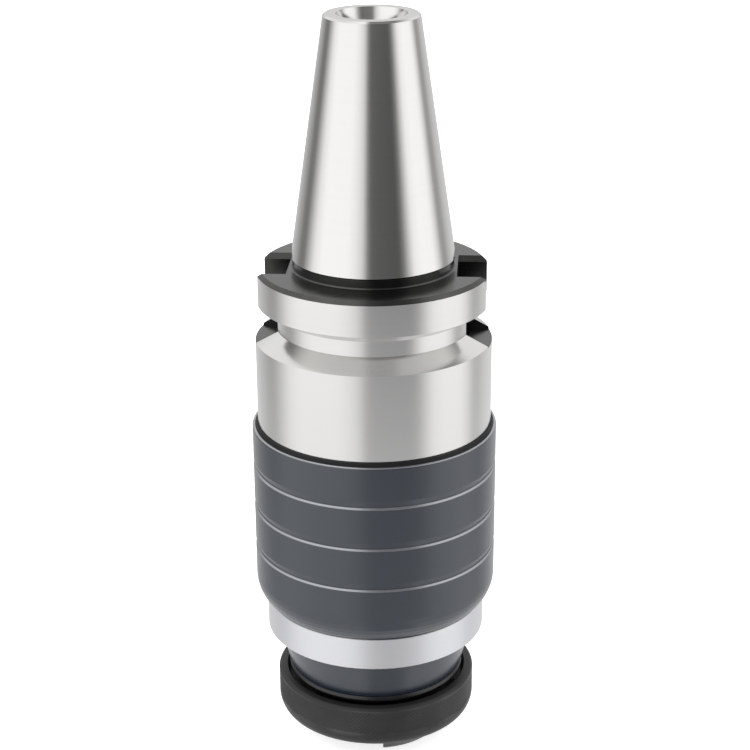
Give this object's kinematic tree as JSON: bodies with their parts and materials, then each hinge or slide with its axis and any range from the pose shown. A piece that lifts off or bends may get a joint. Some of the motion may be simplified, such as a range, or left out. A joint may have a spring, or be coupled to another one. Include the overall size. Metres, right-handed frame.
{
  "type": "quick-change drill and tapping chuck",
  "caption": "Machine-taper quick-change chuck: ground taper and flange, axially floating sleeve and spindle, spring-loaded release ring over a slotted adapter socket.",
  "frame": {"origin": "centre of the taper's gauge plane, on the spindle axis", "axes": "+Z along the spindle axis towards the taper's small end, so the nose points down; X through the two drive-key slots of the flange"},
  "size_m": [0.0676, 0.0676, 0.2064],
  "materials": {
    "ground_steel": "ground and polished steel; black oxide on the neck, the flange face and the key slots",
    "hardened_steel": "turned and hardened",
    "satin_steel": "satin, fine turned",
    "bearing_steel": "polished",
    "spring_wire": "drawn wire, lightly oiled",
    "black_spring_steel": "black oxide",
    "black_knurled_steel": "matte black, knurled",
    "grey_anodised": "blue-grey anodised, semi-gloss",
    "bronze": "machined",
    "bearing_plastic": "filled PTFE",
    "black_rubber": "smooth, slightly glossy"
  },
  "bodies": {
    "shank": {"taper_shank": "ground_steel", "raceway_bush": "bearing_steel", "bush_circlip": "black_spring_steel", "bush_dowels": "bearing_steel", "spring_collar": "bearing_steel", "collar_circlip": "black_spring_steel", "guide_band": "bearing_plastic", "compression_spring": "spring_wire", "rebound_spring": "spring_wire"},
    "ball_cage": {"ball_cage": "bronze", "drive_balls": "bearing_steel"},
    "head": {"spindle": "hardened_steel", "centre_bolt": "black_spring_steel", "spring_washer": "bearing_steel", "grip_sleeve": "grey_anodised", "wiper_seal": "black_rubber", "sleeve_o_ring": "black_rubber", "sleeve_dowels": "bearing_steel", "clamp_ring": "satin_steel", "head_cone": "grey_anodised", "bumper_o_ring": "black_rubber", "ring_circlip": "black_spring_steel", "ring_spring": "spring_wire"},
    "release_ring": {"release_ring": "black_knurled_steel", "cam_ring": "black_spring_steel"},
    "locking_ball_1": {"locking_ball_1": "bearing_steel"},
    "locking_ball_2": {"locking_ball_2": "bearing_steel"},
    "locking_ball_3": {"locking_ball_3": "bearing_steel"}
  },
  "joints": [
    {"name": "length_compensation", "type": "slide", "parent": "shank", "child": "head", "axis": [0, 0, 1], "range_m": [-0.012, 0.01], "stiffness_N_per_m": 20000, "deforming": ["compression_spring", "rebound_spring"]},
    {"name": "cage_slide", "type": "slide", "parent": "shank", "child": "ball_cage", "axis": [0, 0, 1], "range_m": [-0.006, 0.005]},
    {"name": "release_slide", "type": "slide", "parent": "head", "child": "release_ring", "axis": [0, 0, 1], "range_m": [0, 0.0035], "stiffness_N_per_m": 3000, "springref_m": -0.004, "deforming": ["ring_spring"]},
    {"name": "locking_ball_1_slide", "type": "slide", "parent": "head", "child": "locking_ball_1", "axis": [0.866, 0.5, 0], "range_m": [0, 0.001]},
    {"name": "locking_ball_2_slide", "type": "slide", "parent": "head", "child": "locking_ball_2", "axis": [-0.866, 0.5, 0], "range_m": [0, 0.001]},
    {"name": "locking_ball_3_slide", "type": "slide", "parent": "head", "child": "locking_ball_3", "axis": [0, -1, 0], "range_m": [0, 0.001]}
  ],
  "couplings": [
    {"joint": "cage_slide", "follows": "length_compensation", "ratio": 0.5},
    {"joint": "locking_ball_1_slide", "follows": "release_slide", "ratio": 0.28571},
    {"joint": "locking_ball_2_slide", "follows": "release_slide", "ratio": 0.28571},
    {"joint": "locking_ball_3_slide", "follows": "release_slide", "ratio": 0.28571}
  ]
}
